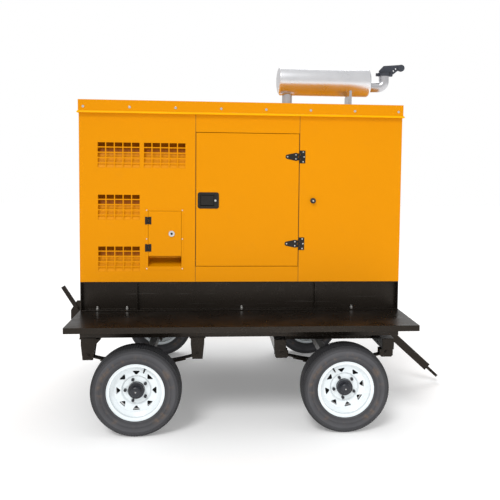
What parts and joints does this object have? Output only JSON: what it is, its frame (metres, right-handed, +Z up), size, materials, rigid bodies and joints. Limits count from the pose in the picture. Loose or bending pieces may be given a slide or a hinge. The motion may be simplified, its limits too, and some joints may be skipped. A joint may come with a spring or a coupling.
{
  "type": "towable diesel generator",
  "caption": "Canopied diesel generator on a skid base and a decked four-wheel trailer with a steered bogie, a drawbar, hinged doors, a roof silencer and a parking brake.",
  "frame": {"origin": "on the road under the middle of the whole vehicle, from brake lever to tow eye", "axes": "+X towards the tow eye, +Y towards the far side, +Z up"},
  "size_m": [3.1646, 2.2, 2.692],
  "materials": {
    "tyre": "matte, moulded ribs",
    "wheel_white": "gloss white enamel",
    "hub_black": "gloss black enamel",
    "canopy_paint": "satin orange-yellow powder coat",
    "galvanised": "dull silver",
    "engine_paint": "satin enamel",
    "rusty_iron": "heat-stained",
    "rubber": "matte",
    "chrome": "polished",
    "bare_steel": "machined",
    "fan_plastic": "moulded",
    "stop_red": "gloss red",
    "black_plastic": "moulded",
    "grey_paint": "satin grey",
    "radiator_black": "satin black",
    "fitting_black": "satin black powder coat",
    "chassis_black": "gloss black, dusty"
  },
  "bodies": {
    "root": {"chassis_frame": "chassis_black", "deck": "chassis_black", "rear_spring_hangers": "chassis_black", "rear_springs": "chassis_black", "rear_axle": "chassis_black", "base_frame": "chassis_black", "frame_bolts": "chassis_black", "generator_side_panels": "canopy_paint", "radiator_side_panels": "canopy_paint", "door_surrounds": "canopy_paint", "control_end_panel": "canopy_paint", "radiator_end_panel": "canopy_paint", "roof": "canopy_paint", "hinge_leaves": "fitting_black", "door_stops": "rubber", "terminal_box": "canopy_paint", "silencer": "galvanised", "rain_cap_clamp": "fitting_black", "engine_block": "engine_paint", "cylinder_head": "engine_paint", "exhaust_manifold": "rusty_iron", "air_filter": "black_plastic", "generator_casing": "engine_paint", "radiator": "radiator_black", "battery": "black_plastic", "fuel_tank": "chassis_black", "engine_mounts": "rubber", "control_box": "grey_paint", "brake_bracket": "chassis_black"},
    "door_near": {"door_near": "canopy_paint", "door_fittings_near": "fitting_black"},
    "door_far": {"door_far": "canopy_paint", "door_fittings_far": "fitting_black"},
    "latch_near": {"latch_paddle_near": "fitting_black"},
    "latch_far": {"latch_paddle_far": "fitting_black"},
    "terminal_door": {"terminal_door": "canopy_paint"},
    "terminal_lock": {"terminal_lock": "chrome"},
    "control_door": {"control_door": "canopy_paint"},
    "stop_button": {"stop_button": "stop_red"},
    "fuel_cap": {"fuel_cap": "black_plastic"},
    "rain_cap": {"rain_cap_flap": "fitting_black"},
    "fan": {"fan": "fan_plastic"},
    "crankshaft": {"crankshaft": "bare_steel"},
    "bogie": {"bogie_frame": "chassis_black", "front_springs": "chassis_black", "front_axle": "chassis_black"},
    "drawbar": {"drawbar": "chassis_black"},
    "brake_lever": {"brake_lever": "chassis_black"},
    "wheel_rear_near": {"tyre_rear_near": "tyre", "rim_rear_near": "wheel_white", "hub_rear_near": "hub_black"},
    "wheel_rear_far": {"tyre_rear_far": "tyre", "rim_rear_far": "wheel_white", "hub_rear_far": "hub_black"},
    "wheel_front_near": {"tyre_front_near": "tyre", "rim_front_near": "wheel_white", "hub_front_near": "hub_black"},
    "wheel_front_far": {"tyre_front_far": "tyre", "rim_front_far": "wheel_white", "hub_front_far": "hub_black"}
  },
  "joints": [
    {"name": "near_door_hinge", "type": "hinge", "parent": "root", "child": "door_near", "pos_m": [0.28698, -0.583, 1.582], "axis": [0, 0, 1], "range_deg": [0, 165]},
    {"name": "far_door_hinge", "type": "hinge", "parent": "root", "child": "door_far", "pos_m": [0.28698, 0.583, 1.582], "axis": [0, 0, -1], "range_deg": [0, 165]},
    {"name": "near_latch_pull", "type": "hinge", "parent": "door_near", "child": "latch_near", "pos_m": [-0.38502, -0.57, 1.611], "axis": [-1, 0, 0], "range_deg": [0, 35], "stiffness_Nm_per_rad": 0.6, "springref_deg": -8.59},
    {"name": "far_latch_pull", "type": "hinge", "parent": "door_far", "child": "latch_far", "pos_m": [-0.38502, 0.57, 1.611], "axis": [1, 0, 0], "range_deg": [0, 35], "stiffness_Nm_per_rad": 0.6, "springref_deg": -8.59},
    {"name": "terminal_door_hinge", "type": "hinge", "parent": "root", "child": "terminal_door", "pos_m": [-0.82502, -0.583, 1.3305], "axis": [0, 0, -1], "range_deg": [0, 120]},
    {"name": "terminal_lock_turn", "type": "hinge", "parent": "terminal_door", "child": "terminal_lock", "pos_m": [-0.65302, -0.575, 1.33], "axis": [0, 1, 0], "range_deg": [0, 90]},
    {"name": "control_door_hinge", "type": "hinge", "parent": "root", "child": "control_door", "pos_m": [-1.32602, 0.212, 1.672], "axis": [0, 0, -1], "range_deg": [0, 115]},
    {"name": "stop_button_push", "type": "slide", "parent": "root", "child": "stop_button", "axis": [1, 0, 0], "range_m": [0, 0.006], "stiffness_N_per_m": 900},
    {"name": "fuel_cap_turn", "type": "hinge", "parent": "root", "child": "fuel_cap", "pos_m": [0.07098, -0.4, 1.002], "axis": [0, 0, 1], "range_deg": [0, 120]},
    {"name": "rain_cap_lift", "type": "hinge", "parent": "root", "child": "rain_cap", "pos_m": [1.11798, 0, 2.626], "axis": [0, 1, 0], "range_deg": [0, 70]},
    {"name": "crankshaft_spin", "type": "hinge", "parent": "root", "child": "crankshaft", "pos_m": [-0.12902, 0, 1.317], "axis": [1, 0, 0], "continuous": true},
    {"name": "fan_spin", "type": "hinge", "parent": "root", "child": "fan", "pos_m": [0.56098, 0, 1.517], "axis": [1, 0, 0], "continuous": true},
    {"name": "bogie_steer", "type": "hinge", "parent": "root", "child": "bogie", "pos_m": [0.56898, 0, 0.5396], "axis": [0, 0, 1], "range_deg": [-25, 25]},
    {"name": "drawbar_lift", "type": "hinge", "parent": "bogie", "child": "drawbar", "pos_m": [1.06598, 0, 0.5116], "axis": [0, -1, 0], "range_deg": [0, 55]},
    {"name": "brake_lever_pull", "type": "hinge", "parent": "root", "child": "brake_lever", "pos_m": [-1.45302, 0, 0.655], "axis": [0, 1, 0], "range_deg": [0, 35]},
    {"name": "wheel_rear_near_spin", "type": "hinge", "parent": "root", "child": "wheel_rear_near", "pos_m": [-0.86002, -1.0075, 0.306], "axis": [0, 1, 0], "continuous": true},
    {"name": "wheel_rear_far_spin", "type": "hinge", "parent": "root", "child": "wheel_rear_far", "pos_m": [-0.86002, 1.0075, 0.306], "axis": [0, 1, 0], "continuous": true},
    {"name": "wheel_front_near_spin", "type": "hinge", "parent": "bogie", "child": "wheel_front_near", "pos_m": [0.56898, -1.0075, 0.306], "axis": [0, 1, 0], "continuous": true},
    {"name": "wheel_front_far_spin", "type": "hinge", "parent": "bogie", "child": "wheel_front_far", "pos_m": [0.56898, 1.0075, 0.306], "axis": [0, 1, 0], "continuous": true}
  ],
  "couplings": [
    {"joint": "fan_spin", "follows": "crankshaft_spin", "ratio": 1.2}
  ]
}
